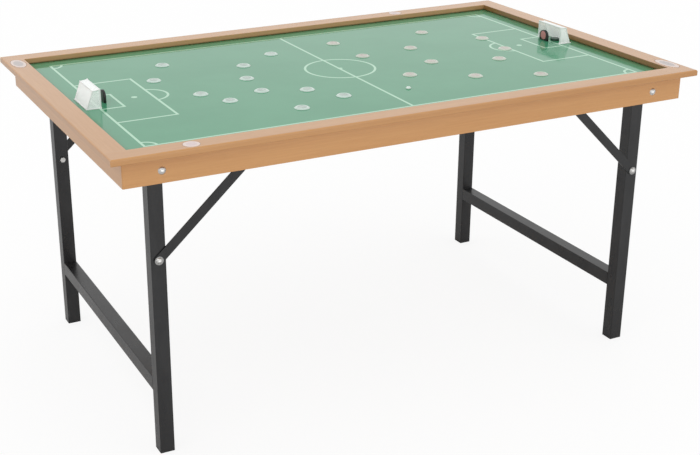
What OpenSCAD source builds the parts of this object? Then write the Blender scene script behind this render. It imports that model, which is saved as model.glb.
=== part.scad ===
/* [Rim] */
// Length of the rim from end to end
top_length = 1530; // [1440:10:1700]
// Width of the rim from front to back
top_width = 930; // [840:10:1060]
// Height of the rim's upper face above the floor
table_height = 755; // [740:5:800]
// Width of the four rim boards
rail_width = 52; // [50:1:66]
// Thickness of the rim boards, which is also the depth of the play area
rail_thickness = 15; // [12:1:22]
// Radius on the rim's outer upper edges
rail_round = 4; // [1:0.5:6]
// Radius on the upper edges of the opening in the rim
opening_round = 1.5; // [1:0.5:4]
// Radius on the lower edges of the rim boards
rail_under_round = 2; // [0.5:0.5:3]

/* [Apron] */
// How far the rim stands out past the apron at the two ends
end_overhang = 30; // [15:1:38]
// How far the rim stands out past the apron at the front and back
side_overhang = 23; // [10:1:34]
// Height of the apron boards
apron_height = 60; // [52:1:85]
// Thickness of the apron boards
apron_thickness = 18; // [12:1:22]
// Radius of the apron's upright outer corners
apron_corner = 3; // [2:1:11]

/* [Playing board] */
// Thickness of the playing board
board_thickness = 12; // [9:1:14]
// Width and height of the bearer strips below the board's edge
bearer_size = 15; // [13:1:16]
// Width of the batten across the middle of the board
batten_width = 40; // [30:2:60]
// Depth of the batten below the board
batten_depth = 22; // [12:1:30]

/* [Leg frames] */
// Outer width of the square tube
tube_size = 35; // [30:1:36]
// Wall of the square tube
tube_wall = 1.5; // [1.2:0.1:3]
// Outer corner radius of the tube
tube_round = 2; // [1.5:0.5:4]
// Distance from the apron's end face to the outer face of a leg
leg_inset_end = 70; // [66:1:90]
// Distance from the apron's long face to the outer face of a leg
leg_inset_side = 50; // [48:1:60]
// Height of the stretcher's underside above the floor
stretcher_height = 150; // [90:5:200]
// Thickness of the foot plug's flange
foot_thickness = 4; // [2:0.5:8]
// Length of the foot plug inside the tube
foot_insert = 22; // [12:1:40]
// Distance from the board's underside down to the leg pivots
pivot_drop = 20; // [20:0.5:24]

/* [Braces] */
// Width of the flat brace bars
brace_width = 22; // [18:1:24]
// Thickness of the flat brace bars
brace_thickness = 3; // [2:0.5:4]
// Height of the lower brace bolt above the floor
brace_height = 485; // [450:5:510]
// Horizontal distance from the left frame's brace bolts to their hooked studs
left_brace_reach = 235; // [215:1:250]
// Horizontal distance from the right frame's brace bolts to their hooked studs
right_brace_reach = 218; // [205:1:245]
// Distance from the board's underside down to the hooked stud
stud_drop = 28; // [27:1:34]
// Width of the catch plates
catch_width = 32; // [28:1:40]
// Height of the catch plates
catch_height = 42; // [40:1:50]
// Thickness of the catch plates
catch_thickness = 3; // [2:0.5:3]

/* [Bolts and screws] */
// Diameter of the pivot bolts, brace bolts and studs
bolt_diameter = 8; // [6:0.5:8]
// Diameter of the domed heads on the apron
pivot_head = 18; // [14:1:22]
// Diameter of the domed heads on the braces
brace_head = 15; // [12:1:18]
// Diameter of the wood screws
screw_diameter = 4; // [3:0.5:5]

/* [Goals] */
// Width of a goal over its posts
goal_width = 102; // [90:2:130]
// Height of a goal
goal_height = 47; // [36:1:60]
// Depth of a goal at its base
goal_depth = 38; // [32:1:42]
// Depth of a goal's roof
goal_roof = 20; // [14:1:26]
// Spacing of the net's cords
net_pitch = 7.5; // [7:0.5:12]
// Thickness of the net's cords
net_cord = 0.9; // [0.7:0.1:1.4]

/* [Players] */
// Diameter of the buttons
button_diameter = 37; // [30:0.5:38]
// Height of the buttons
button_height = 3.5; // [2.5:0.5:6]
// Width of a goalkeeper
keeper_width = 34; // [28:1:44]
// Height of a goalkeeper
keeper_height = 29; // [24:1:38]
// Thickness of a goalkeeper
keeper_thickness = 6.5; // [5:0.5:10]
// Diameter of the small flat disc played as the ball
play_disc_diameter = 13; // [9:0.5:16]
// Height of the play disc
play_disc_height = 4.5; // [3:0.5:6]
// Diameter of the flick disc
flick_diameter = 25; // [22:1:27]

/* [Hidden] */
$fn = 48;

// Lengths of the two node lists that a loop makes
team_size = 11;

// Running clearance of a turning part on its bolt
run_gap = 0.08;
// Clearance of a bolt in a hole that it doesn't turn in
hole_gap = 0.05;
// Space between a leg and the washer beside it
face_gap = 0.3;
// Space between a brace and the leg behind it
brace_gap = 0.2;
// Space round a stud in its catch plate, and round the playing board
slot_gap = 0.5;

// Main planes, measured from the centre of the floor
half_length = top_length / 2;
half_width = top_width / 2;
rim_z = table_height - rail_thickness;
apron_x = half_length - end_overhang;
apron_y = half_width - side_overhang;
apron_z = rim_z - apron_height;
inner_x = apron_x - apron_thickness;
inner_y = apron_y - apron_thickness;
field_x = half_length - rail_width;
field_y = half_width - rail_width;
field_z = rim_z;
board_z = field_z - board_thickness;

// Leg pivots and tubes
pivot_x = apron_x - leg_inset_end - tube_size / 2;
pivot_z = board_z - pivot_drop;
leg_outer = apron_y - leg_inset_side;
leg_inner = leg_outer - tube_size;
leg_centre = leg_outer - tube_size / 2;
bolt_r = bolt_diameter / 2;
top_chamfer = tube_size * 0.3;

// Washers, nuts and domed heads
washer_thickness = 2;
brace_washer = 1.5;
nut_flats_r = bolt_diameter * 0.92;
nut_height = bolt_diameter * 0.8;
pivot_head_height = 5;
brace_head_height = 5;

// Pivot blocks between apron and leg
block_length = 80;
block_lift = 4;
block_face = leg_outer + face_gap + washer_thickness;

// Braces and the studs hooked in the catch plates
left_stud_x = left_brace_reach - pivot_x;
right_stud_x = pivot_x - right_brace_reach;
stud_z = board_z - stud_drop;
stud_rise = stud_z - brace_height;
brace_face = leg_outer + brace_gap + brace_thickness;
bearer_face = inner_y - bearer_size;
stud_end = bearer_face + 4;
slot_fall = 19.4;
notch_r = bolt_r + slot_gap;
notch_flare = 1.5;
catch_gap = 0.5;
catch_top = board_z - catch_gap;
catch_screw_spread = 20;
catch_screw_drop = 7;

// Screws through the bearer strips into the apron
screw_r = screw_diameter / 2;
screw_head_r = screw_diameter;
screw_head_height = 2.2;
screw_depth = 12;
bearer_screw_drop = bearer_size / 2;
stud_to_screw = 59.5;
first_screw = left_stud_x + stud_to_screw;
last_screw = right_stud_x - stud_to_screw;
long_screws = [first_screw, first_screw / 3, last_screw / 3, last_screw];
outer_end_screw = leg_inner - 107;
end_screws = [-outer_end_screw, 0, outer_end_screw];

// Goals stand just behind the goal lines, mouths towards the middle
goal_setback = 59;
goal_line = field_x - goal_setback;
left_goal_spot = [1 - goal_line, -8];
right_goal_spot = [goal_line, 2];
post_r = 2;
bar_r = 1.6;
stay_r = 1.1;
roof_bar_r = 1.4;
base_thickness = 2;
base_width = 5;
net_thickness = 0.8;
roof_fall = 2;
post_x = base_width / 2;
post_y = (goal_width - base_width) / 2;
bar_z = goal_height - bar_r - 0.3;
roof_z = bar_z - roof_fall;
back_x = goal_depth - base_width / 2;
base_z = base_thickness / 2;

// Goalkeepers stand in front of the mouths
left_keeper = [21 - goal_line, -4];
right_keeper = [goal_line - 8, 12];
keeper_arch = 12;
keeper_badge_r = 0.41 * min(keeper_width, keeper_height);
keeper_badge_depth = 0.6;

// Loose pieces on the board
flick_spot = [goal_line + 19, right_goal_spot[1] - 4];
flick_height = 6;
play_disc_spot = [65, -237];

// Places of each team's buttons, along the table from its own goal line and across it
home_spots = [
    [259, 240], [189, 110], [249, -55], [291, -137], [446, 140], [404, 23],
    [392, -94], [560, 217], [495, -135], [550, -221], [417, -266]
];
away_spots = [
    [547, 243], [540, 86], [264, 242], [383, 103], [408, -47], [523, -132],
    [149, 106], [159, -19], [233, -101], [382, -216], [227, -277]
];

// Colours
wood = [0.78, 0.60, 0.42];
pale_wood = [0.86, 0.76, 0.60];
green = [0.36, 0.62, 0.46];
black_steel = [0.13, 0.13, 0.14];
black_plastic = [0.07, 0.07, 0.07];
steel = [0.72, 0.73, 0.74];
white_plastic = [0.93, 0.94, 0.93];
home_white = [0.86, 0.90, 0.87];
away_cream = [0.90, 0.82, 0.76];

// Rectangle centred on the origin with rounded corners
module rounded_square(w, h, r) {
    square([w, h - 2 * r], center = true);
    square([w - 2 * r, h], center = true);
    for (x = [-1, 1], y = [-1, 1])
        translate([x * (w / 2 - r), y * (h / 2 - r)])
            circle(r);
}

// Cylinder along Y between two values of y
module rod_y(x, z, y1, y2, r) {
    translate([x, min(y1, y2), z])
        rotate([-90, 0, 0])
            cylinder(h = abs(y2 - y1), r = r);
}

// Cylinder along X between two values of x
module rod_x(y, z, x1, x2, r) {
    translate([min(x1, x2), y, z])
        rotate([0, 90, 0])
            cylinder(h = abs(x2 - x1), r = r);
}

// Upright section of the rim's outer block, its upper and lower edges rounded
module rim_block(half) {
    translate([-half, rail_under_round])
        square([2 * half, rail_thickness - rail_round - rail_under_round]);
    translate([-half + rail_under_round, 0])
        square([2 * (half - rail_under_round), rail_thickness - rail_round]);
    translate([-half + rail_round, 0])
        square([2 * (half - rail_round), rail_thickness]);
    for (s = [-1, 1]) {
        translate([s * (half - rail_round), rail_thickness - rail_round])
            circle(rail_round);
        translate([s * (half - rail_under_round), rail_under_round])
            circle(rail_under_round);
    }
}

// Corner of the opening's section at a height z, flared outwards round a circle of radius r
module opening_flare(half, s, z, r) {
    difference() {
        translate([s > 0 ? half - 1 : -half - r, z > r ? z : -1])
            square([r + 1, r + 1]);
        translate([s * (half + r), z])
            circle(r);
    }
}

// Upright section of the opening in the rim, flared where its edges are rounded
module rim_opening(half) {
    translate([-half, -1])
        square([2 * half, rail_thickness + 2]);
    for (s = [-1, 1]) {
        opening_flare(half, s, rail_thickness - opening_round, opening_round);
        opening_flare(half, s, rail_under_round, rail_under_round);
    }
}

// Sweeps its two sections across the table both ways and keeps what they share
module both_ways() {
    intersection() {
        translate([0, half_width, rim_z])
            rotate([90, 0, 0])
                linear_extrude(top_width)
                    children(0);
        translate([-half_length, 0, rim_z])
            rotate([90, 0, 90])
                linear_extrude(top_length)
                    children(1);
    }
}

// The whole rim, its edges rounded all round as if after the boards are joined
module rim() {
    difference() {
        both_ways() {
            rim_block(half_length);
            rim_block(half_width);
        }
        both_ways() {
            rim_opening(field_x);
            rim_opening(field_y);
        }
    }
}

// Rim board along X, the full length of the table
module long_rail(side) {
    color(wood)
        intersection() {
            rim();
            translate([-half_length - 1, side > 0 ? field_y : -half_width - 1, rim_z - 1])
                cube([top_length + 2, rail_width + 1, rail_thickness + 2]);
        }
}

// Rim board along Y, between the long ones
module end_rail(end) {
    color(wood)
        intersection() {
            rim();
            translate([end > 0 ? field_x : -half_length - 1, -field_y, rim_z - 1])
                cube([rail_width + 1, 2 * field_y, rail_thickness + 2]);
        }
}

module playing_board() {
    color(green)
        translate([0, 0, board_z])
            linear_extrude(board_thickness)
                square([2 * (inner_x - slot_gap), 2 * (inner_y - slot_gap)], center = true);
}

// Outline of the whole apron box, with rounded upright corners
module apron_outline() {
    rounded_square(2 * apron_x, 2 * apron_y, apron_corner);
}

// Holes for the pivot bolts and the bearer screws in a long apron or a strip
module pivot_holes(side, y1, y2) {
    for (end = [-1, 1])
        rod_y(end * pivot_x, pivot_z, side * y1, side * y2, bolt_r + hole_gap);
}

module long_screw_holes(side, y1, y2) {
    for (x = long_screws)
        rod_y(x, board_z - bearer_screw_drop, side * y1, side * y2, screw_r + hole_gap);
}

module end_screw_holes(end, x1, x2) {
    for (y = end_screws)
        rod_x(y, board_z - bearer_screw_drop, end * x1, end * x2, screw_r + hole_gap);
}

module catch_screw_holes(side, y1, y2) {
    for (x = [left_stud_x, right_stud_x], s = [-1, 1])
        rod_y(
            x + s * catch_screw_spread / 2, catch_top - catch_screw_drop,
            side * y1, side * y2, screw_r + hole_gap
        );
}

// Front and back apron boards run past the end ones
module long_apron(side) {
    color(wood)
        difference() {
            translate([0, 0, apron_z])
                linear_extrude(apron_height)
                    intersection() {
                        apron_outline();
                        translate([-apron_x, side > 0 ? inner_y : -apron_y])
                            square([2 * apron_x, apron_thickness]);
                    }
            pivot_holes(side, inner_y - 1, apron_y + 1);
            long_screw_holes(side, inner_y - 1, inner_y + screw_depth + 1);
        }
}

module end_apron(end) {
    color(wood)
        difference() {
            translate([end > 0 ? inner_x : -apron_x, -inner_y, apron_z])
                cube([apron_thickness, 2 * inner_y, apron_height]);
            end_screw_holes(end, inner_x - 1, inner_x + screw_depth + 1);
        }
}

// Strips below the edge of the board: two between the pivot blocks, two along the ends
module bearer_strips() {
    strip_end = pivot_x - block_length / 2 - slot_gap;
    color(pale_wood)
        for (s = [-1, 1]) {
            difference() {
                translate([-strip_end, s > 0 ? bearer_face : -inner_y, board_z - bearer_size])
                    cube([2 * strip_end, bearer_size, bearer_size]);
                long_screw_holes(s, bearer_face - 1, inner_y + 1);
                catch_screw_holes(s, bearer_face - 1, bearer_face + screw_depth + 1);
            }
            difference() {
                translate([
                    s > 0 ? inner_x - bearer_size : -inner_x,
                    -inner_y + slot_gap, board_z - bearer_size
                ])
                    cube([bearer_size, 2 * (inner_y - slot_gap), bearer_size]);
                end_screw_holes(s, inner_x - bearer_size - 1, inner_x + 1);
            }
        }
}

module centre_batten() {
    batten_end = leg_inner - nut_height - 2 * face_gap;
    color(pale_wood)
        translate([-batten_width / 2, -batten_end, board_z - batten_depth])
            cube([batten_width, 2 * batten_end, batten_depth]);
}

// Wooden blocks that hold the legs clear of the apron
module pivot_blocks() {
    block_height = apron_height - board_thickness - block_lift;
    color(pale_wood)
        for (side = [-1, 1])
            difference() {
                for (end = [-1, 1])
                    translate([
                        end * pivot_x - block_length / 2,
                        side > 0 ? block_face : -inner_y,
                        apron_z + block_lift
                    ])
                        cube([block_length, inner_y - block_face, block_height]);
                pivot_holes(side, block_face - 1, inner_y + 1);
            }
}

// Low dome whose flat face is at z = 0
module dome(d, h) {
    r = (d * d / 4 + h * h) / (2 * h);
    intersection() {
        translate([0, 0, h - r])
            sphere(r);
        cylinder(h = h, r = d / 2);
    }
}

// Dome on the outer face at y, on the side given
module dome_y(x, y, z, side, d, h) {
    translate([x, side * y, z])
        rotate([-side * 90, 0, 0])
            dome(d, h);
}

module pivot_bolts() {
    end_y = leg_inner - 2 * face_gap - nut_height;
    color(steel)
        for (end = [-1, 1], side = [-1, 1]) {
            dome_y(end * pivot_x, apron_y, pivot_z, side, pivot_head, pivot_head_height);
            rod_y(end * pivot_x, pivot_z, side * end_y, side * (apron_y + 0.5), bolt_r);
        }
}

// Hexagonal nut from y inwards, with its hole
module nut(x, y, z, side) {
    difference() {
        translate([x, side * y, z])
            rotate([side * 90, 0, 0])
                cylinder(h = nut_height, r = nut_flats_r, $fn = 6);
        rod_y(x, z, side * (y + 1), side * (y - nut_height - 1), bolt_r + hole_gap);
    }
}

// Round washer from y outwards
module washer(x, y, z, side, thickness, r) {
    difference() {
        rod_y(x, z, side * y, side * (y + thickness), r);
        rod_y(x, z, side * (y - 1), side * (y + thickness + 1), bolt_r + hole_gap);
    }
}

// Nuts inside the legs, and washers between the legs and the blocks
module pivot_nuts() {
    color(steel)
        for (end = [-1, 1], side = [-1, 1]) {
            nut(end * pivot_x, leg_inner - face_gap, pivot_z, side);
            washer(end * pivot_x, leg_outer + face_gap, pivot_z, side, washer_thickness, bolt_diameter);
        }
}

// Mouth of a catch plate's notch, widening from the stud towards +X
module notch_mouth() {
    rotate([90, 0, 0])
        linear_extrude(2 * catch_thickness, center = true)
            polygon([
                [0, -notch_r * 0.9], [catch_width, -notch_r - notch_flare],
                [catch_width, notch_r + notch_flare], [0, notch_r * 0.9]
            ]);
}

// Catch plates on the bearer strips, with a notch that opens inwards and downwards
module catch_plates() {
    color(black_steel)
        for (end = [-1, 1], side = [-1, 1]) {
            x = end > 0 ? right_stud_x : left_stud_x;
            difference() {
                translate([
                    x - catch_width / 2,
                    side > 0 ? bearer_face - catch_thickness : -bearer_face,
                    catch_top - catch_height
                ])
                    cube([catch_width, catch_thickness, catch_height]);
                rod_y(
                    x, stud_z, side * (bearer_face + 1),
                    side * (bearer_face - catch_thickness - 1), notch_r
                );
                translate([x, side * (bearer_face - catch_thickness / 2), stud_z])
                    rotate([0, end > 0 ? 180 - slot_fall : slot_fall, 0])
                        notch_mouth();
                catch_screw_holes(side, bearer_face - catch_thickness - 1, bearer_face + 1);
            }
        }
}

// Screw along Y with its head on the face at y
module screw_y(x, z, side, y, depth) {
    color(steel) {
        rod_y(x, z, side * y, side * (y + depth), screw_r);
        rod_y(x, z, side * (y - screw_head_height), side * y, screw_head_r);
    }
}

// Screws that hold the bearer strips to the apron and the catch plates to the strips
module wood_screws() {
    reach = bearer_size + screw_depth;
    for (side = [-1, 1]) {
        for (x = long_screws)
            screw_y(x, board_z - bearer_screw_drop, side, bearer_face, reach);
        for (x = [left_stud_x, right_stud_x], s = [-1, 1])
            screw_y(
                x + s * catch_screw_spread / 2, catch_top - catch_screw_drop,
                side, bearer_face - catch_thickness, catch_thickness + screw_depth
            );
    }
    end_face = inner_x - bearer_size;
    for (end = [-1, 1], y = end_screws)
        color(steel) {
            rod_x(
                y, board_z - bearer_screw_drop,
                end * end_face, end * (inner_x + screw_depth), screw_r
            );
            rod_x(
                y, board_z - bearer_screw_drop,
                end * (end_face - screw_head_height), end * end_face, screw_head_r
            );
        }
}

// Cross-section of the square tube
module tube_section() {
    bore = tube_size - 2 * tube_wall;
    difference() {
        rounded_square(tube_size, tube_size, tube_round);
        rounded_square(bore, bore, max(tube_round - tube_wall, 0.5));
    }
}

// Leg with its upper corners cut off, so that it swings clear of the board
module leg(end, side) {
    top_z = pivot_z + tube_size / 2;
    half = tube_size / 2;
    color(black_steel)
        difference() {
            intersection() {
                translate([end * pivot_x, side * leg_centre, foot_thickness])
                    linear_extrude(top_z - foot_thickness)
                        tube_section();
                translate([end * pivot_x, side * leg_centre + tube_size, 0])
                    rotate([90, 0, 0])
                        linear_extrude(2 * tube_size)
                            polygon([
                                [-half - 1, 0], [half + 1, 0], [half + 1, top_z - top_chamfer - 1],
                                [half - top_chamfer, top_z], [-half + top_chamfer, top_z],
                                [-half - 1, top_z - top_chamfer - 1]
                            ]);
            }
            rod_y(
                end * pivot_x, pivot_z,
                side * (leg_inner - 1), side * (leg_outer + 1), bolt_r + run_gap
            );
            rod_y(
                end * pivot_x, brace_height,
                side * (leg_inner - 1), side * (leg_outer + 1), bolt_r + hole_gap
            );
        }
}

// Square tube welded between the inner faces of the two legs
module stretcher(end) {
    color(black_steel)
        translate([end * pivot_x, leg_inner, stretcher_height + tube_size / 2])
            rotate([90, 0, 0])
                linear_extrude(2 * leg_inner)
                    tube_section();
}

// Plugs in the open feet of the two legs
module feet(end) {
    insert = tube_size - 2 * tube_wall - 0.6;
    color(black_plastic)
        for (side = [-1, 1])
            translate([end * pivot_x, side * leg_centre, 0]) {
                linear_extrude(foot_thickness)
                    rounded_square(tube_size, tube_size, tube_round);
                translate([0, 0, foot_thickness])
                    linear_extrude(foot_insert)
                        rounded_square(insert, insert, tube_round);
            }
}

// Bolt, washer and nut that each brace turns on
module brace_bolts(end) {
    color(steel)
        for (side = [-1, 1]) {
            washer(
                end * pivot_x, brace_face + brace_gap, brace_height, side,
                brace_washer, bolt_diameter * 1.25
            );
            dome_y(
                end * pivot_x, brace_face + brace_gap + brace_washer, brace_height,
                side, brace_head, brace_head_height
            );
            rod_y(
                end * pivot_x, brace_height, side * (leg_inner - nut_height - face_gap),
                side * (brace_face + brace_gap + brace_washer + 0.5), bolt_r
            );
            nut(end * pivot_x, leg_inner, brace_height, side);
        }
}

// Flat bar with round ends, a hole on the leg's bolt and a stud at its upper end
module brace(end, side) {
    reach = end > 0 ? right_brace_reach : left_brace_reach;
    brace_length = norm([reach, stud_rise]);
    color(black_steel)
        translate([end * pivot_x, side * (leg_outer + brace_gap), brace_height])
            mirror([end > 0 ? 1 : 0, 0, 0])
                rotate([0, -atan2(stud_rise, reach), 0])
                    mirror([0, side > 0 ? 0 : 1, 0]) {
                        difference() {
                            rotate([90, 0, 0])
                                mirror([0, 0, 1])
                                    linear_extrude(brace_thickness) {
                                        translate([0, -brace_width / 2])
                                            square([brace_length, brace_width]);
                                        circle(brace_width / 2);
                                        translate([brace_length, 0])
                                            circle(brace_width / 2);
                                    }
                            rod_y(0, 0, -1, brace_thickness + 1, bolt_r + run_gap);
                        }
                        rod_y(brace_length, 0, 1, stud_end - leg_outer - brace_gap, bolt_r);
                    }
}

// Straight bar of the goal between two points of its side view, at one value of y
module stay(p1, p2, y, r) {
    run = [p2[0] - p1[0], p2[1] - p1[1]];
    translate([p1[0], y, p1[1]])
        rotate([0, atan2(run[0], run[1]), 0])
            cylinder(h = norm(run), r = r);
}

// Goal seen from its mouth at x = 0, its net reaching towards +X, its base at z = 0
module goal_frame() {
    color(white_plastic) {
        linear_extrude(base_thickness)
            difference() {
                translate([0, -goal_width / 2])
                    square([goal_depth, goal_width]);
                translate([-1, -goal_width / 2 + base_width])
                    square([goal_depth - base_width + 1, goal_width - 2 * base_width]);
            }
        for (s = [-1, 1]) {
            translate([post_x, s * post_y, base_z])
                cylinder(h = goal_height - base_z, r = post_r);
            stay([post_x, bar_z], [goal_roof, roof_z], s * post_y, stay_r);
            stay([goal_roof, roof_z], [back_x, base_z], s * post_y, stay_r);
        }
        rod_y(post_x, bar_z, -post_y, post_y, bar_r);
        rod_y(goal_roof, roof_z, -post_y - post_r, post_y + post_r, roof_bar_r);
    }
}

// Square mesh over a rectangle, with cords along all four edges
module net_panel(w, h) {
    columns = max(1, round(w / net_pitch));
    rows = max(1, round(h / net_pitch));
    linear_extrude(net_thickness, center = true)
        difference() {
            square([w, h]);
            for (i = [0:columns - 1], j = [0:rows - 1])
                translate([i * w / columns + net_cord / 2, j * h / rows + net_cord / 2])
                    square([w / columns - net_cord, h / rows - net_cord]);
        }
}

// Side net: upright and level cords cut to the side view of the goal
module side_net(outline) {
    linear_extrude(net_thickness, center = true)
        intersection() {
            polygon(outline);
            union() {
                for (x = [post_x:net_pitch:goal_depth])
                    translate([x - net_cord / 2, 0])
                        square([net_cord, goal_height]);
                for (z = [base_thickness:net_pitch:goal_height])
                    translate([0, z - net_cord / 2])
                        square([goal_depth, net_cord]);
            }
        }
}

// Net of one goal, tied along its bars
module goal_net() {
    roof_run = goal_roof - post_x;
    back_run = back_x - goal_roof;
    back_rise = roof_z - base_z;
    color(white_plastic) {
        translate([post_x, -post_y, bar_z])
            rotate([0, atan2(roof_fall, roof_run), 0])
                rotate([0, 0, 90])
                    mirror([0, 1, 0])
                        net_panel(2 * post_y, norm([roof_run, roof_fall]));
        translate([back_x, -post_y, base_z])
            rotate([0, -atan2(back_run, back_rise), 0])
                rotate([90, 0, 90])
                    net_panel(2 * post_y, norm([back_run, back_rise]));
        for (s = [-1, 1])
            translate([0, s * post_y, 0])
                rotate([90, 0, 0])
                    side_net([
                        [post_x, base_z], [post_x, bar_z], [goal_roof, roof_z], [back_x, base_z]
                    ]);
    }
}

// Moves a goal or its net to one end of the board, its mouth towards the middle
module at_goal(end) {
    spot = end > 0 ? right_goal_spot : left_goal_spot;
    translate([spot[0], spot[1], field_z])
        mirror([end > 0 ? 0 : 1, 0, 0])
            children();
}

// Goalkeeper: a block with an arched top and a round sunk badge on the side of the field
module keeper(end) {
    spot = end > 0 ? right_keeper : left_keeper;
    arch_r = (keeper_width * keeper_width / 4 + keeper_arch * keeper_arch) / (2 * keeper_arch);
    color(black_plastic)
        translate([spot[0], spot[1], field_z])
            mirror([end > 0 ? 0 : 1, 0, 0])
                difference() {
                    translate([-keeper_thickness / 2, 0, 0])
                        rotate([90, 0, 90])
                            linear_extrude(keeper_thickness)
                                intersection() {
                                    translate([-keeper_width / 2, 0])
                                        square([keeper_width, keeper_height]);
                                    translate([0, keeper_height - arch_r])
                                        circle(arch_r, $fn = 96);
                                }
                    rod_x(
                        0, keeper_height / 2, -keeper_thickness / 2 - 1,
                        -keeper_thickness / 2 + keeper_badge_depth, keeper_badge_r
                    );
                }
}

// Half section of a button: sloping side, flat ring, sunk middle
module button(end, spot, tint) {
    r = button_diameter / 2;
    h = button_height;
    color(tint)
        translate([end * (goal_line - spot[0]), spot[1], field_z])
            rotate_extrude()
                polygon([
                    [0, 0], [r - 0.8, 0], [r, 1], [r - 0.3, 2], [r - 2.6, h - 0.4], [r - 3.2, h],
                    [r - 6, h], [r - 6.5, h - 0.7], [0, h - 0.7]
                ]);
}

// Thin disc with a bevelled edge
module flick_disc() {
    r = flick_diameter / 2;
    color(black_plastic)
        translate([flick_spot[0], flick_spot[1], field_z])
            rotate_extrude()
                polygon([
                    [0, 0], [r - 1, 0], [r, 0.8],
                    [r, flick_height - 0.8], [r - 1, flick_height], [0, flick_height]
                ]);
}

// Small flat disc that the buttons push about
module play_disc() {
    r = play_disc_diameter / 2;
    h = play_disc_height;
    color(white_plastic)
        translate([play_disc_spot[0], play_disc_spot[1], field_z])
            rotate_extrude()
                polygon([[0, 0], [r - 1, 0], [r, 1], [r, h - 1], [r - 1, h], [0, h]]);
}

playing_board();
long_rail(-1);  // rail_front
long_rail(1);  // rail_back
end_rail(-1);  // rail_left
end_rail(1);  // rail_right
long_apron(-1);  // apron_front
long_apron(1);  // apron_back
end_apron(-1);  // apron_left
end_apron(1);  // apron_right
bearer_strips();
centre_batten();
pivot_blocks();
pivot_bolts();
pivot_nuts();
catch_plates();
wood_screws();
leg(-1, -1);  // leg_left_front
leg(-1, 1);  // leg_left_back
stretcher(-1);  // stretcher_left
feet(-1);  // feet_left
brace_bolts(-1);  // brace_bolts_left
leg(1, -1);  // leg_right_front
leg(1, 1);  // leg_right_back
stretcher(1);  // stretcher_right
feet(1);  // feet_right
brace_bolts(1);  // brace_bolts_right
brace(-1, -1);  // brace_left_front
brace(-1, 1);  // brace_left_back
brace(1, -1);  // brace_right_front
brace(1, 1);  // brace_right_back
at_goal(-1) goal_frame();  // goal_left
at_goal(-1) goal_net();  // goal_net_left
at_goal(1) goal_frame();  // goal_right
at_goal(1) goal_net();  // goal_net_right
keeper(-1);  // keeper_left
keeper(1);  // keeper_right
flick_disc();
play_disc();
for (i = [1:team_size])
    button(-1, home_spots[i - 1], home_white);
for (i = [1:team_size])
    button(1, away_spots[i - 1], away_cream);
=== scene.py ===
import bpy
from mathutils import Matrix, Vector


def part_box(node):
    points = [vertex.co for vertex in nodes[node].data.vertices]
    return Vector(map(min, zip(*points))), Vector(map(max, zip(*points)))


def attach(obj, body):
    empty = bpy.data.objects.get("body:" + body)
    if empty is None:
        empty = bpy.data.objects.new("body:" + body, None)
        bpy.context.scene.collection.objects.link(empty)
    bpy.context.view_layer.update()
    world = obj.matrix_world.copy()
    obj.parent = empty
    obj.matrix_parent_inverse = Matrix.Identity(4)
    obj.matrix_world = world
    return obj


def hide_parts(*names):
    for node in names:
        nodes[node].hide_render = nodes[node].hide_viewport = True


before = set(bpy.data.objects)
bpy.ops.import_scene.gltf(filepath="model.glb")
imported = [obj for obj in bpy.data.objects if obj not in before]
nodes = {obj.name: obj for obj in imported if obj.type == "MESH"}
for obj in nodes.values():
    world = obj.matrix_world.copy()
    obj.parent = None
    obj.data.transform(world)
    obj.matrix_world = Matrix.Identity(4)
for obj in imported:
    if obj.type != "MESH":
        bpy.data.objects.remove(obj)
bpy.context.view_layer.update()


class Amount:
    """One output of a finish. Arithmetic on it adds the nodes that work it out."""

    def __init__(self, finish, socket):
        self.finish = finish
        self.socket = socket

    def of(self, operation, *others):
        values = {i + 1: other for i, other in enumerate(others)}
        return self.finish.node("Math", {"operation": operation}, {0: self, **values})

    def __add__(self, other):
        return self.of("ADD", other)

    __radd__ = __add__

    def __mul__(self, other):
        return self.of("MULTIPLY", other)

    __rmul__ = __mul__

    def __sub__(self, other):
        return self.of("SUBTRACT", other)

    def __rsub__(self, other):
        return self.finish.node("Math", {"operation": "SUBTRACT"}, {0: other, 1: self})

    def __truediv__(self, other):
        return self.of("DIVIDE", other)

    def __abs__(self):
        return self.of("ABSOLUTE")


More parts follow.
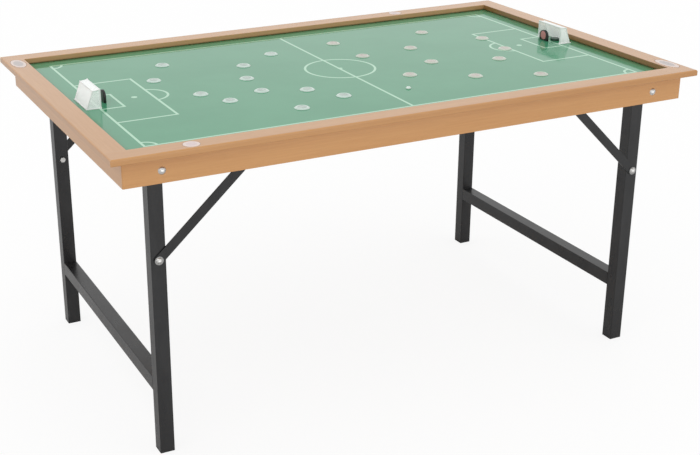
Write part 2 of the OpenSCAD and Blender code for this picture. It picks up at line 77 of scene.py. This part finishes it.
class Finish:
    """A material for one kind of surface, made from nodes."""

    def __init__(self, name, constants):
        self.material = bpy.data.materials.new(name)
        self.material.use_nodes = True
        self.tree = self.material.node_tree
        self.shader = self.tree.nodes["Principled BSDF"]
        for socket, value in constants.items():
            self.shader.inputs[socket].default_value = value
        self.place = self.node("TexCoord", {}, {}, "Object")

    def node(self, kind, settings, inputs, output=0):
        made = self.tree.nodes.new("ShaderNode" + kind)
        stops = settings.pop("stops", None)
        for name, value in settings.items():
            setattr(made, name, value)
        if stops:
            ramp = made.color_ramp
            while len(ramp.elements) < len(stops):
                ramp.elements.new(1.0)
            for element, (position, colour) in zip(ramp.elements, stops):
                element.position = position
                element.color = (*colour, 1.0)
        for name, value in inputs.items():
            self.join(made.inputs[name], value)
        return Amount(self, made.outputs[output])

    def join(self, socket, value):
        if isinstance(value, Amount):
            self.tree.links.new(value.socket, socket)
        elif hasattr(socket.default_value, "__len__") and len(value) == 3 and len(socket.default_value) == 4:
            socket.default_value = (*value, 1.0)
        else:
            socket.default_value = value

    def put(self, socket, value):
        self.join(self.shader.inputs[socket], value)

    def noise(self, scale, stretch=(1, 1, 1), detail=4.0, roughness=0.55):
        where = self.node("Mapping", {}, {"Vector": self.place, "Scale": stretch})
        settings = {"Vector": where, "Scale": scale, "Detail": detail, "Roughness": roughness}
        return self.node("TexNoise", {}, settings)

    def along(self, axis):
        """The Object coordinate along one axis, X, Y or Z."""
        return self.node("SeparateXYZ", {}, {"Vector": self.place}, axis)

    def blend(self, factor, first, second):
        return self.node("Mix", {"data_type": "RGBA"}, {0: factor, 6: first, 7: second}, 2)

    def step(self, value, low, high):
        limits = {"Value": value, "From Min": low, "From Max": high}
        return self.node("MapRange", {"interpolation_type": "SMOOTHSTEP"}, limits)

    def bump(self, height, strength, distance):
        sizes = {"Height": height, "Strength": strength, "Distance": distance}
        self.put("Normal", self.node("Bump", {}, sizes))

    def cover(self, *pieces):
        for piece in pieces:
            piece.data.materials.clear()
            piece.data.materials.append(self.material)


def pitch_lines(finish, x, y):
    """Where the printed lines are, 1 on a line and 0 off it. The print's middle lies 1.7 mm off the
    board's, and the areas lie 7.5 to 12.5 mm to one side."""
    goal_line, touch_line = 0.656, 0.367
    half_line, blur = 0.0030, 0.0005
    centre_spot, centre_x, centre_y, centre_radius = 0.0035, 0.004, 0.005, 0.090
    penalty_line, penalty_half = 0.510, 0.168
    goal_area_line, goal_area_half = 0.599, 0.056
    penalty_spot_x, penalty_spot = 0.554, 0.0045
    arc_x, arc_radius, arc_limit = 0.519, 0.0485, 0.509
    corner_radius = 0.029
    across = abs(x + 0.0017)
    print_shift = 0.0125 - finish.step(x, -0.01, 0.01) * 0.005

    def aside(shift):
        return abs(y + shift)

    def thin(distance):
        return 1 - finish.step(abs(distance), half_line - blur, half_line + blur)

    def inside(value, limit):
        return 1 - finish.step(value, limit + half_line - blur, limit + half_line + blur)

    def from_point(run, rise):
        return (run * run + rise * rise).of("SQRT")

    on_pitch = inside(across, goal_line) * inside(aside(0.0), touch_line)
    border = thin((across - goal_line).of("MAXIMUM", aside(0.0) - touch_line))
    from_centre = from_point(x - centre_x, y - centre_y)
    halfway = thin(x - 0.0015)
    centre = thin(from_centre - centre_radius).of("MAXIMUM", inside(from_centre, centre_spot))
    penalty_area = thin((penalty_line - across).of("MAXIMUM", aside(print_shift) - penalty_half))
    goal_area = thin((goal_area_line - across).of("MAXIMUM", aside(print_shift - 0.002) - goal_area_half))
    spot = inside(from_point(across - penalty_spot_x, y + 0.004), penalty_spot)
    arc = thin(from_point(across - arc_x, y + 0.002) - arc_radius) * inside(across, arc_limit)
    corner = thin(from_point(across - goal_line, aside(0.0) - touch_line) - corner_radius)
    lines = border
    for other in (halfway, centre, penalty_area, goal_area, spot, arc, corner):
        lines = lines.of("MAXIMUM", other)
    return lines * on_pitch


laminate = Finish("green laminate", {"IOR": 1.45})
board_x, board_y, board_z = (laminate.along(axis) for axis in "XYZ")
mottle = laminate.noise(5.0, detail=5.0)
speck = laminate.noise(900.0, detail=2.0)
green = laminate.blend(laminate.step(mottle, 0.35, 0.68), (0.064, 0.312, 0.164), (0.078, 0.338, 0.182))
green = laminate.blend(laminate.step(speck, 0.55, 0.75) * 0.12, green, (0.12, 0.38, 0.21))
printed = laminate.blend(pitch_lines(laminate, board_x, board_y), green, (0.46, 0.76, 0.56))
raw_board = laminate.blend(laminate.step(speck, 0.4, 0.7), (0.22, 0.14, 0.075), (0.30, 0.20, 0.115))
board_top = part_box("playing_board")[1][2]
on_top = laminate.step(board_z, board_top - 0.0006, board_top - 0.0002)
wall_x, wall_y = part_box("rail_right")[0][0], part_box("rail_back")[0][1]
# Painted shade and warm bounce light from the rim's walls: the board is darker and more olive at a wall,
# fading out by 24 mm from it.
from_wall = (wall_x - abs(board_x)).of("MINIMUM", wall_y - abs(board_y))
painted_wall_shade = 1 - laminate.step(from_wall, 0.002, 0.024)
printed = laminate.blend(painted_wall_shade * 0.50, printed, (0.080, 0.120, 0.012))
laminate.put("Base Color", laminate.blend(on_top, raw_board, printed))
laminate.put("Roughness", 0.62 - on_top * 0.55 + laminate.step(mottle, 0.3, 0.7) * 0.03)
laminate.bump(laminate.noise(260.0, detail=2.0), 0.015, 0.0003)
laminate.cover(nodes["playing_board"])

# Rim: four flat boards of varnished wood, glued down on the apron and over the playing board's edge,
# the front and back ones at full length. Their edges are routed round. Painted shade darkens their outer
# edges, the end walls of the opening and the foot of every wall, and a painted reflection makes the
# long walls paler.
def varnished_wood(name, grain, light, dark, shine=0.30, painted_shade_edge=None, opening=None):
    """Wood whose grain runs along the axis given, x or y, under a thin clear varnish. Its outer edge is
    darkened with painted shade where one is given, as half the length and half the width. Where the
    opening is given, as its half size along one axis, a painted-light tint and how strong it is, the wall
    of the opening takes that tint and painted shade darkens its foot."""
    broad = {"x": (0.5, 9, 9), "y": (9, 0.5, 9)}[grain]
    fine = {"x": (3, 95, 95), "y": (95, 3, 95)}[grain]
    finish = Finish(name, {"IOR": 1.5, "Coat Roughness": 0.15})
    figure = finish.noise(2.2, stretch=broad, detail=5.0)
    fibre = finish.noise(3.0, stretch=fine, detail=6.0, roughness=0.65)
    pore = finish.noise(9.0, stretch=fine, detail=3.0)
    tone = finish.step(figure, 0.30, 0.72) * 0.55 + finish.step(fibre, 0.34, 0.70) * 0.45
    colour = finish.blend(tone, light, dark)
    if painted_shade_edge:
        # Painted shade on the outer edge: the outer faces and rounded edges are darker and warmer.
        end = abs(finish.along("X")) - painted_shade_edge[0]
        side = abs(finish.along("Y")) - painted_shade_edge[1]
        on_shaded_edge = finish.step(end.of("MAXIMUM", side), -0.0014, -0.0002)
        colour = finish.blend(on_shaded_edge * 0.20, colour, (0.22, 0.085, 0.02))
    if opening:
        wall, painted_wall_light, strength = opening
        reach = abs(finish.along("Y" if grain == "x" else "X"))
        # Painted light on the wall of the opening: shade on the end walls, a paler reflection on the long
        # walls.
        on_wall = 1 - finish.step(reach, wall + 0.0006, wall + 0.0022)
        colour = finish.blend(on_wall * strength, colour, painted_wall_light)
        # Painted shade at the foot of the wall, darkest in the lowest 1.4 mm and gone by 5.5 mm.
        rise = finish.along("Z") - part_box("rail_front")[0][2]
        foot = on_wall * (1 - finish.step(rise, 0.0014, 0.0055))
        colour = finish.blend(foot * 0.62, colour, (0.050, 0.050, 0.008))
    pores = finish.step(pore, 0.60, 0.74)
    finish.put("Base Color", finish.blend(pores * 0.16, colour, tuple(part * 0.55 for part in dark)))
    finish.put("Roughness", shine + fibre * 0.08 + pores * 0.06)
    finish.put("Coat Weight", 0.55 - pores * 0.2)
    finish.bump(fibre + pores * -0.4, 0.10, 0.0003)
    return finish


rim_light, rim_dark = (0.600, 0.305, 0.106), (0.520, 0.243, 0.073)
rim_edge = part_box("rail_right")[1][0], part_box("rail_back")[1][1]
# The long walls of the opening take a paler, greyer painted reflection, the end walls a strong painted shade.
long_wall = wall_y, (0.60, 0.48, 0.34), 0.22
end_wall = wall_x, (0.110, 0.052, 0.016), 0.58
long_rim = varnished_wood(
    "rim wood, long grain", "x", rim_light, rim_dark, painted_shade_edge=rim_edge, opening=long_wall)
long_rim.cover(nodes["rail_front"], nodes["rail_back"])
end_rim = varnished_wood(
    "rim wood, cross grain", "y", rim_light, rim_dark, painted_shade_edge=rim_edge, opening=end_wall)
end_rim.cover(nodes["rail_left"], nodes["rail_right"])

# Apron: four boards of the same wood on edge, under the rim and set in from its outer edge.
# The long ones cover the ends of the short ones and have their upright corners rounded.
long_apron = varnished_wood("apron wood, long grain", "x", rim_light, rim_dark)
long_apron.cover(nodes["apron_front"], nodes["apron_back"])
end_apron = varnished_wood("apron wood, cross grain", "y", rim_light, rim_dark)
end_apron.cover(nodes["apron_left"], nodes["apron_right"])

# Bearer strips, batten and pivot blocks: planed softwood under the board, glued and screwed.
# The strips carry the board's edge, the batten stiffens its middle, the blocks space the legs.
bare_light, bare_dark = (0.62, 0.45, 0.26), (0.50, 0.33, 0.17)
long_strips = varnished_wood("planed softwood", "x", bare_light, bare_dark, shine=0.55)
long_strips.cover(nodes["bearer_strips"], nodes["pivot_blocks"])
cross_batten = varnished_wood("planed softwood, cross grain", "y", bare_light, bare_dark, shine=0.55)
cross_batten.cover(nodes["centre_batten"])

# Bolts, nuts and screws: plated steel. The pivot bolts pass through apron, block and leg,
# the brace bolts through brace and leg, and the wood screws hold strips and catch plates.
def plating(name):
    finish = Finish(name, {"IOR": 2.5})
    wear = finish.noise(420.0, detail=4.0)
    bright = finish.blend(finish.step(wear, 0.35, 0.7), (0.70, 0.70, 0.69), (0.52, 0.51, 0.49))
    finish.put("Roughness", 0.22 + wear * 0.16)
    finish.bump(wear, 0.08, 0.0002)
    return finish, bright


bare_plating, bright = plating("plated steel")
bare_plating.put("Base Color", bright)
bare_plating.put("Metallic", 1.0)
bare_plating.cover(*(nodes[name] for name in ("pivot_bolts", "pivot_nuts", "wood_screws")))

brace_plating, bright = plating("plated steel, painted washer")
washer_inner_face, washer_outer_face = (0.3946, 0.3950), (0.3968, 0.3970)
beside = abs(brace_plating.along("Y"))
before_washer = brace_plating.step(beside, *washer_inner_face)
painted = before_washer * (1 - brace_plating.step(beside, *washer_outer_face))
brace_plating.put("Base Color", brace_plating.blend(painted, bright, (0.015, 0.015, 0.016)))
brace_plating.put("Metallic", 1 - painted)
brace_plating.cover(nodes["brace_bolts_left"], nodes["brace_bolts_right"])

# Leg frames: two legs of square steel tube with a stretcher welded between them low down,
# sprayed semi-gloss black, with the flat braces and the catch plates in the same paint.
paint = Finish("black paint", {"IOR": 1.5})
peel = paint.noise(700.0, detail=2.0)
handling = paint.noise(14.0, stretch=(1, 1, 0.35), detail=6.0, roughness=0.7)
scuffs = paint.step(paint.noise(60.0, stretch=(1, 1, 0.2), detail=6.0, roughness=0.75), 0.60, 0.78)
near_floor = 1 - paint.step(paint.along("Z"), 0.02, 0.16)
worn = scuffs * (0.10 + near_floor * 0.45)
soft_black = paint.blend(paint.step(handling, 0.35, 0.7), (0.012, 0.012, 0.013), (0.020, 0.020, 0.021))
paint.put("Base Color", paint.blend(worn, soft_black, (0.085, 0.085, 0.088)))
paint.put("Roughness", 0.26 + paint.step(handling, 0.3, 0.75) * 0.10 + worn * 0.25)
paint.bump(peel, 0.05, 0.0003)
painted_nodes = [f"brace_{end}_{side}" for end in ("left", "right") for side in ("front", "back")]
painted_nodes += [f"leg_{end}_{side}" for end in ("left", "right") for side in ("front", "back")]
painted_nodes += ["stretcher_left", "stretcher_right", "catch_plates"]
paint.cover(*(nodes[name] for name in painted_nodes))

# Foot plugs: black plastic pushed into the open ends of the legs, dull and a little scratched.
plug = Finish("foot plastic", {"IOR": 1.46})
scratch = plug.noise(240.0, stretch=(1, 1, 3), detail=5.0)
plug.put("Base Color", plug.blend(plug.step(scratch, 0.5, 0.75), (0.018, 0.018, 0.018), (0.05, 0.05, 0.05)))
plug.put("Roughness", 0.48 + scratch * 0.2)
plug.bump(scratch, 0.12, 0.0003)
plug.cover(nodes["feet_left"], nodes["feet_right"])

# Goals: a frame of white moulded plastic rod on a flat base. It stands loose on the board,
# just behind the goal line, and can be lifted off.
white_rod = Finish("white goal plastic", {"IOR": 1.46})
cast = white_rod.noise(160.0, detail=3.0)
white_rod.put("Base Color", white_rod.blend(cast, (0.88, 0.90, 0.89), (0.93, 0.94, 0.93)))
white_rod.put("Roughness", 0.30 + cast * 0.15)
white_rod.bump(cast, 0.05, 0.0003)
white_rod.cover(nodes["goal_left"], nodes["goal_right"])

# Nets: fine white cord in square meshes over the goal's roof, back and sides, tied to its rods.
import bmesh
from mathutils import Matrix, Vector

# The cords glow faintly, a painted light standing in for the light that passes through thin white cord.
net_cord = Finish("net cord", {"Sheen Weight": 1.0, "Sheen Roughness": 0.4, "Emission Strength": 0.12})
twist = net_cord.noise(1800.0, detail=2.0)
net_cord.put("Base Color", net_cord.blend(twist, (0.93, 0.95, 0.94), (0.97, 0.98, 0.97)))
net_cord.put("Emission Color", net_cord.blend(twist, (0.93, 0.95, 0.94), (0.97, 0.98, 0.97)))
net_cord.put("Roughness", 0.65 + twist * 0.2)
net_cord.bump(twist, 0.25, 0.0002)


def keep(name, shape, finish, body, *stands_for, smooth=0.7):
    """Turns a finished bmesh into a piece that rides on its body."""
    mesh = bpy.data.meshes.new(name)
    shape.to_mesh(mesh)
    shape.free()
    mesh.shade_smooth()
    mesh.set_sharp_from_angle(angle=smooth)
    piece = bpy.data.objects.new(name, mesh)
    bpy.context.scene.collection.objects.link(piece)
    finish.cover(piece)
    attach(piece, body)
    if stands_for:
        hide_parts(*stands_for)
    return piece


def cord(shape, start, end, radius):
    """A round cord, straight from one point to another."""
    start, end = Vector(start), Vector(end)
    run = end - start
    turn = run.to_track_quat("Z", "Y").to_matrix().to_4x4()
    bmesh.ops.create_cone(
        shape, cap_ends=True, segments=6, radius1=radius, radius2=radius, depth=run.length,
        matrix=Matrix.Translation((start + end) / 2) @ turn)


def goal_net(end, body, frame_node, net_node):
    """The net of one goal, its mouth towards the middle of the table."""
    low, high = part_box(frame_node)
    middle, foot = (low[1] + high[1]) / 2, low[2]
    mouth = low[0] if end > 0 else high[0]
    mesh_size, radius = 0.0024, 0.0006
    inset, bar_drop, roof_drop, roof_end, base = 0.0025, 0.0019, 0.0039, 0.020, 0.0012
    half_width = (high[1] - low[1]) / 2 - inset
    bar, roof = high[2] - low[2] - bar_drop, high[2] - low[2] - roof_drop
    front, back = inset, high[0] - low[0] - inset

    def point(depth, across, rise):
        return (mouth + end * depth, middle + across, foot + rise)

    def top_at(depth):
        if depth <= roof_end:
            return bar + (roof - bar) * (depth - front) / (roof_end - front)
        return roof + (base - roof) * (depth - roof_end) / (back - roof_end)

    shape = bmesh.new()
    columns = round(2 * half_width / mesh_size)
    for i in range(columns + 1):
        across = -half_width + 2 * half_width * i / columns
        cord(shape, point(front, across, bar), point(roof_end, across, roof), radius)
        cord(shape, point(roof_end, across, roof), point(back, across, base), radius)
    roof_rows = round((roof_end - front) / mesh_size)
    for i in range(roof_rows + 1):
        depth = front + (roof_end - front) * i / roof_rows
        cord(shape, point(depth, -half_width, top_at(depth)), point(depth, half_width, top_at(depth)), radius)
    back_rows = round((roof - base) / mesh_size)
    for i in range(back_rows):
        rise = base + (roof - base) * i / back_rows
        depth = back - (back - roof_end) * (rise - base) / (roof - base)
        cord(shape, point(depth, -half_width, rise), point(depth, half_width, rise), radius)
        for side in (-half_width, half_width):
            cord(shape, point(front, side, rise), point(depth, side, rise), radius)
    uprights = round((back - front) / mesh_size)
    for i in range(1, uprights):
        depth = front + (back - front) * i / uprights
        for side in (-half_width, half_width):
            cord(shape, point(depth, side, base), point(depth, side, top_at(depth)), radius)
    return keep(net_node + "_cords", shape, net_cord, body, net_node)


goal_net(-1, "left_goal", "goal_left", "goal_net_left")
goal_net(1, "right_goal", "goal_right", "goal_net_right")

# Goalkeepers: a solid block of black plastic with an arched top and softened edges,
# and a plain round red face set into a shallow seat on the side of the field.
from math import atan2, pi, sqrt

keeper_plastic = Finish("keeper plastic", {"IOR": 1.5})
swirl = keeper_plastic.noise(90.0, detail=4.0)
keeper_plastic.put("Base Color", keeper_plastic.blend(swirl, (0.007, 0.008, 0.007), (0.014, 0.016, 0.014)))
keeper_plastic.put("Roughness", 0.24 + swirl * 0.16)
keeper_plastic.bump(swirl, 0.05, 0.0004)
face_print = Finish("red face", {"IOR": 1.5})
fleck = face_print.noise(300.0, detail=3.0)
face_print.put("Base Color", face_print.blend(fleck, (0.52, 0.19, 0.185), (0.62, 0.27, 0.26)))
face_print.put("Roughness", 0.25 + fleck * 0.15)
face_print.bump(fleck, 0.04, 0.0003)


def turned(profile, steps=64):
    """A shape turned on a lathe about Z, from its (radius, height) points, bottom to top."""
    shape = bmesh.new()
    points = [shape.verts.new((radius, 0.0, height)) for radius, height in profile]
    edges = [shape.edges.new(pair) for pair in zip(points, points[1:])]
    bmesh.ops.spin(
        shape, geom=points + edges, cent=(0, 0, 0), axis=(0, 0, 1), angle=2 * pi, steps=steps, use_merge=True)
    bmesh.ops.remove_doubles(shape, verts=shape.verts[:], dist=1e-6)
    bmesh.ops.recalc_face_normals(shape, faces=shape.faces[:])
    return shape


def move(shape, matrix):
    bmesh.ops.transform(shape, matrix=matrix, verts=shape.verts[:])
    return shape


def keeper(end, node, body):
    low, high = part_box(node)
    width, thickness, tall = high[1] - low[1], high[0] - low[0], high[2] - low[2]
    arch, softening, face_share, seat_gap = 0.012, 0.0011, 0.41, 0.0002
    radius = (width * width / 4 + arch * arch) / (2 * arch)
    spread_angle = 2 * atan2(width / 2, radius - arch)
    shape = bmesh.new()
    start = shape.verts.new((0, -width / 2, tall - arch))
    bmesh.ops.spin(
        shape, geom=[start], cent=(0, 0, tall - radius), axis=(1, 0, 0), angle=-spread_angle, steps=28)
    grown = bmesh.ops.extrude_edge_only(shape, edges=shape.edges[:])["geom"]
    lower = [item for item in grown if isinstance(item, bmesh.types.BMVert)]
    bmesh.ops.scale(shape, vec=(1, 1, 0), verts=lower)
    grown = bmesh.ops.extrude_face_region(shape, geom=shape.faces[:])["geom"]
    far = [item for item in grown if isinstance(item, bmesh.types.BMVert)]
    bmesh.ops.translate(shape, vec=(thickness, 0, 0), verts=far)
    bmesh.ops.recalc_face_normals(shape, faces=shape.faces[:])
    sharp = [edge for edge in shape.edges if edge.calc_face_angle(0) > 0.5]
    bmesh.ops.bevel(
        shape, geom=sharp, offset=softening, segments=3, profile=0.5, affect="EDGES", material=-1)
    move(shape, Matrix.Translation((low[0], (low[1] + high[1]) / 2, low[2])))
    block = keep(node + "_block", shape, keeper_plastic, body, node, smooth=0.6)

    face_radius = face_share * min(width, tall) - seat_gap
    face = turned([(0, 0), (face_radius, 0), (face_radius, 0.0003), (face_radius - 0.0006, 0.0006),
                   (face_radius * 0.5, 0.00075), (0, 0.0008)], steps=48)
    front = low[0] if end > 0 else high[0]
    turn = Matrix.Rotation(-end * pi / 2, 4, "Y")
    sunk = 0.0003
    spot = Matrix.Translation((front + end * sunk, (low[1] + high[1]) / 2, low[2] + tall / 2))
    keep(node + "_face", move(face, spot @ turn), face_print, body)


keeper(-1, "keeper_left", "left_keeper")
keeper(1, "keeper_right", "right_keeper")

# Flick disc: a thin disc of dark plastic with worn bevelled edges, left lying in the right goal.
flick_plastic = Finish("flick disc plastic", {"IOR": 1.5})
rub = flick_plastic.noise(220.0, detail=5.0)
flick_plastic.put("Base Color", flick_plastic.blend(rub, (0.014, 0.044, 0.028), (0.028, 0.068, 0.046)))
flick_plastic.put("Roughness", 0.20 + rub * 0.25)
flick_plastic.bump(rub, 0.06, 0.0003)
flick_plastic.cover(nodes["flick_disc"])

# Play disc: the small flat disc of white plastic played as the ball, its edges softened by use.
disc_plastic = Finish("white disc plastic", {"IOR": 1.46})
graze = disc_plastic.noise(700.0, detail=4.0)
disc_plastic.put("Base Color", disc_plastic.blend(graze, (0.74, 0.84, 0.78), (0.84, 0.93, 0.87)))
disc_plastic.put("Roughness", 0.42 + graze * 0.25)
disc_plastic.bump(graze, 0.12, 0.0002)
low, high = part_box("play_disc")
radius, tall = (high[0] - low[0]) / 2, high[2] - low[2]
disc_shape = turned([(0, 0), (radius - 0.0008, 0), (radius - 0.0002, 0.0003), (radius, 0.0009),
                     (radius - 0.0003, 0.0018), (radius - 0.0014, tall - 0.0006),
                     (radius - 0.0022, tall - 0.0001), (radius - 0.0028, tall), (0, tall)], steps=48)
disc_spot = Matrix.Translation(((low[0] + high[0]) / 2, (low[1] + high[1]) / 2, low[2]))
keep("play_disc_turned", move(disc_shape, disc_spot), disc_plastic, "loose_play_disc", "play_disc")

# Buttons: low turned discs of polished plastic with a sloping side and a sunk middle,
# which holds a plain printed disc under clear lacquer: greyish for one team, pinkish for the other.
def polished(name, pale, deep):
    finish = Finish(name, {"IOR": 1.5, "Coat Roughness": 0.06})
    cloud = finish.noise(55.0, detail=4.0)
    rubbed = finish.noise(500.0, detail=3.0)
    finish.put("Base Color", finish.blend(finish.step(cloud, 0.3, 0.7), pale, deep))
    finish.put("Roughness", 0.16 + rubbed * 0.16)
    finish.put("Coat Weight", 0.3 + cloud * 0.2)
    finish.bump(rubbed, 0.04, 0.0002)
    return finish


button_finishes = {
    "home": (polished("home plastic", (0.66, 0.80, 0.73), (0.59, 0.73, 0.66)),
             polished("home middle", (0.36, 0.46, 0.41), (0.50, 0.60, 0.54))),
    "away": (polished("away plastic", (0.65, 0.71, 0.61), (0.57, 0.63, 0.54)),
             polished("away middle", (0.49, 0.43, 0.38), (0.57, 0.51, 0.45))),
}
for team, (body_finish, middle_finish) in button_finishes.items():
    for number in range(1, 12):
        node = f"{team}_button_{number}"
        low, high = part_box(node)
        radius, tall = (high[0] - low[0]) / 2, high[2] - low[2]
        spot = Matrix.Translation(((low[0] + high[0]) / 2, (low[1] + high[1]) / 2, low[2]))
        seat, disc_radius = tall - 0.0010, radius - 0.0074
        profile = [(0, 0), (radius - 0.0005, 0), (radius - 0.0001, 0.0002), (radius, 0.0005),
                   (radius - 0.0003, 0.0009), (radius - 0.0034, tall - 0.0004),
                   (radius - 0.0040, tall - 0.0001), (radius - 0.0046, tall), (radius - 0.0056, tall),
                   (radius - 0.0060, tall - 0.00015), (radius - 0.0065, tall - 0.0008),
                   (radius - 0.0072, seat), (0, seat)]
        keep(node + "_ring", move(turned(profile), spot), body_finish, node + "_body", node)
        disc = [(0, seat), (disc_radius, seat), (disc_radius, tall - 0.0007),
                (disc_radius - 0.0004, tall - 0.00055), (0, tall - 0.0004)]
        keep(node + "_middle", move(turned(disc, 48), spot), middle_finish, node + "_body")

# Labels: four plain paper labels stuck on the rim, two round and two oval, pale with a fine outline
# and a plain tinted middle.
def printed_paper(name, pale, deep):
    finish = Finish(name, {"IOR": 1.46})
    pulp = finish.noise(380.0, detail=4.0)
    finish.put("Base Color", finish.blend(pulp, pale, deep))
    finish.put("Roughness", 0.38 + pulp * 0.2)
    finish.bump(pulp, 0.06, 0.0002)
    return finish


label_paper = printed_paper("label paper", (0.88, 0.75, 0.69), (0.80, 0.68, 0.63))
round_middle = printed_paper("round label middle", (0.80, 0.66, 0.65), (0.72, 0.60, 0.59))
oval_middle = printed_paper("oval label middle", (0.64, 0.59, 0.57), (0.56, 0.51, 0.50))
label_outline = printed_paper("label outline", (0.40, 0.25, 0.17), (0.34, 0.21, 0.14))
rim_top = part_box("rail_front")[1][2]
round_size, oval_size = (0.0195, 0.0195), (0.0190, 0.0430)
middle_share, outline_share, paper_thickness = 0.62, 0.94, 0.0003
label_places = {
    "label_left_oval": (-0.739, 0.373), "label_right_oval": (0.739, -0.382),
    "label_front_round": (-0.579, -0.439), "label_back_round": (0.415, 0.439),
}
for name, (x, y) in label_places.items():
    oval = name.endswith("oval")
    half_x, half_y = oval_size if oval else round_size
    stretch = Matrix.Diagonal((half_x, half_y, 1.0, 1.0))
    spot = Matrix.Translation((x, y, rim_top))
    sheet = turned([
        (0, 0), (1.0, 0), (0.998, 0.0002), (0.985, paper_thickness), (outline_share, paper_thickness),
        (middle_share, paper_thickness), (0, paper_thickness)])
    piece = keep(name, move(sheet, spot @ stretch), label_paper, "table")
    piece.data.materials.append((oval_middle if oval else round_middle).material)
    piece.data.materials.append(label_outline.material)
    for face in piece.data.polygons:
        reach = sqrt(((face.center.x - x) / half_x) ** 2 + ((face.center.y - y) / half_y) ** 2)
        if face.normal.z > 0.5:
            face.material_index = 1 if reach < middle_share else 2 if reach > outline_share else 0

# Studio: a plain white floor under a plain white sky, with a large soft lamp high on the left in front
# and a low wide panel in front. Seen directly and in reflections the sky is white, and the floor
# keeps the shadow.
floor_shape = bmesh.new()
floor_half = 14.0
bmesh.ops.create_grid(floor_shape, x_segments=2, y_segments=2, size=floor_half)
floor_mesh = bpy.data.meshes.new("floor")
floor_shape.to_mesh(floor_mesh)
floor_shape.free()
floor = bpy.data.objects.new("floor", floor_mesh)
bpy.context.scene.collection.objects.link(floor)
floor_white = Finish(
    "floor white", {"Base Color": (0.80, 0.80, 0.80, 1), "Roughness": 0.9, "Specular IOR Level": 0.0})
seen = floor_white.node("LightPath", {}, {}, "Is Camera Ray")
glow_share, glow_strength = 0.80, 1.065
glow = floor_white.tree.nodes.new("ShaderNodeEmission")
glow.inputs["Strength"].default_value = glow_strength
share = floor_white.tree.nodes.new("ShaderNodeMixShader")
floor_white.join(share.inputs[0], seen * glow_share)
floor_white.tree.links.new(floor_white.shader.outputs[0], share.inputs[1])
floor_white.tree.links.new(glow.outputs[0], share.inputs[2])
floor_white.tree.links.new(share.outputs[0], floor_white.tree.nodes["Material Output"].inputs["Surface"])
floor_white.cover(floor)

world = bpy.data.worlds.new("studio")
bpy.context.scene.world = world
world.use_nodes = True
sky = world.node_tree.nodes["Background"]
sky.inputs["Color"].default_value = (1, 1, 1, 1)
rays = world.node_tree.nodes.new("ShaderNodeLightPath")
direct = world.node_tree.nodes.new("ShaderNodeMath")
direct.operation = "MAXIMUM"
world.node_tree.links.new(rays.outputs["Is Camera Ray"], direct.inputs[0])
world.node_tree.links.new(rays.outputs["Is Glossy Ray"], direct.inputs[1])
either = world.node_tree.nodes.new("ShaderNodeMath")
either.operation = "MAXIMUM"
world.node_tree.links.new(direct.outputs[0], either.inputs[0])
world.node_tree.links.new(rays.outputs["Is Transmission Ray"], either.inputs[1])
level = world.node_tree.nodes.new("ShaderNodeMapRange")
light_on_object, seen_sky = 0.88, 1.0
level.inputs["To Min"].default_value = light_on_object
level.inputs["To Max"].default_value = seen_sky
world.node_tree.links.new(either.outputs[0], level.inputs["Value"])
world.node_tree.links.new(level.outputs[0], sky.inputs["Strength"])


def soft_lamp(name, width, height, energy, place, target):
    data = bpy.data.lights.new(name, "AREA")
    data.shape = "RECTANGLE"
    data.size, data.size_y = width, height
    data.energy = energy
    lamp = bpy.data.objects.new(name, data)
    bpy.context.scene.collection.objects.link(lamp)
    lamp.location = place
    lamp.rotation_euler = (Vector(target) - lamp.location).to_track_quat("-Z", "Y").to_euler()


soft_lamp("high lamp", 3.2, 2.2, 14.0, (-2.6, -2.2, 3.6), (0, 0, 0.7))
soft_lamp("low panel", 5.0, 0.9, 30.0, (0.4, -4.2, 0.40), (0, 0, 0.62))

# Camera: at eye height, front left, with a slight shift, as the table is framed in the photograph.
image_width, image_height = 700, 455
focal_length_px, lens_centre_x, lens_centre_y = 1272.73, 290.785, 210.72
camera_data = bpy.data.cameras.new("camera")
camera_data.sensor_width = 36.0
camera_data.lens = focal_length_px / image_width * camera_data.sensor_width
camera_data.shift_x = (image_width / 2 - lens_centre_x) / image_width
camera_data.shift_y = (lens_centre_y - image_height / 2) / image_width
camera_data.clip_end = 60.0
camera = bpy.data.objects.new("camera", camera_data)
bpy.context.scene.collection.objects.link(camera)
heading, downward, roll = -0.4428, 0.3746, -0.0080
eye = (-1.4760, -2.8134, 1.5980)
aim = Matrix.Rotation(heading, 4, "Z") @ Matrix.Rotation(pi / 2 - downward, 4, "X")
camera.matrix_world = Matrix.Translation(eye) @ aim @ Matrix.Rotation(roll, 4, "Z")
bpy.context.scene.camera = camera
bpy.context.scene.view_settings.view_transform = "Standard"
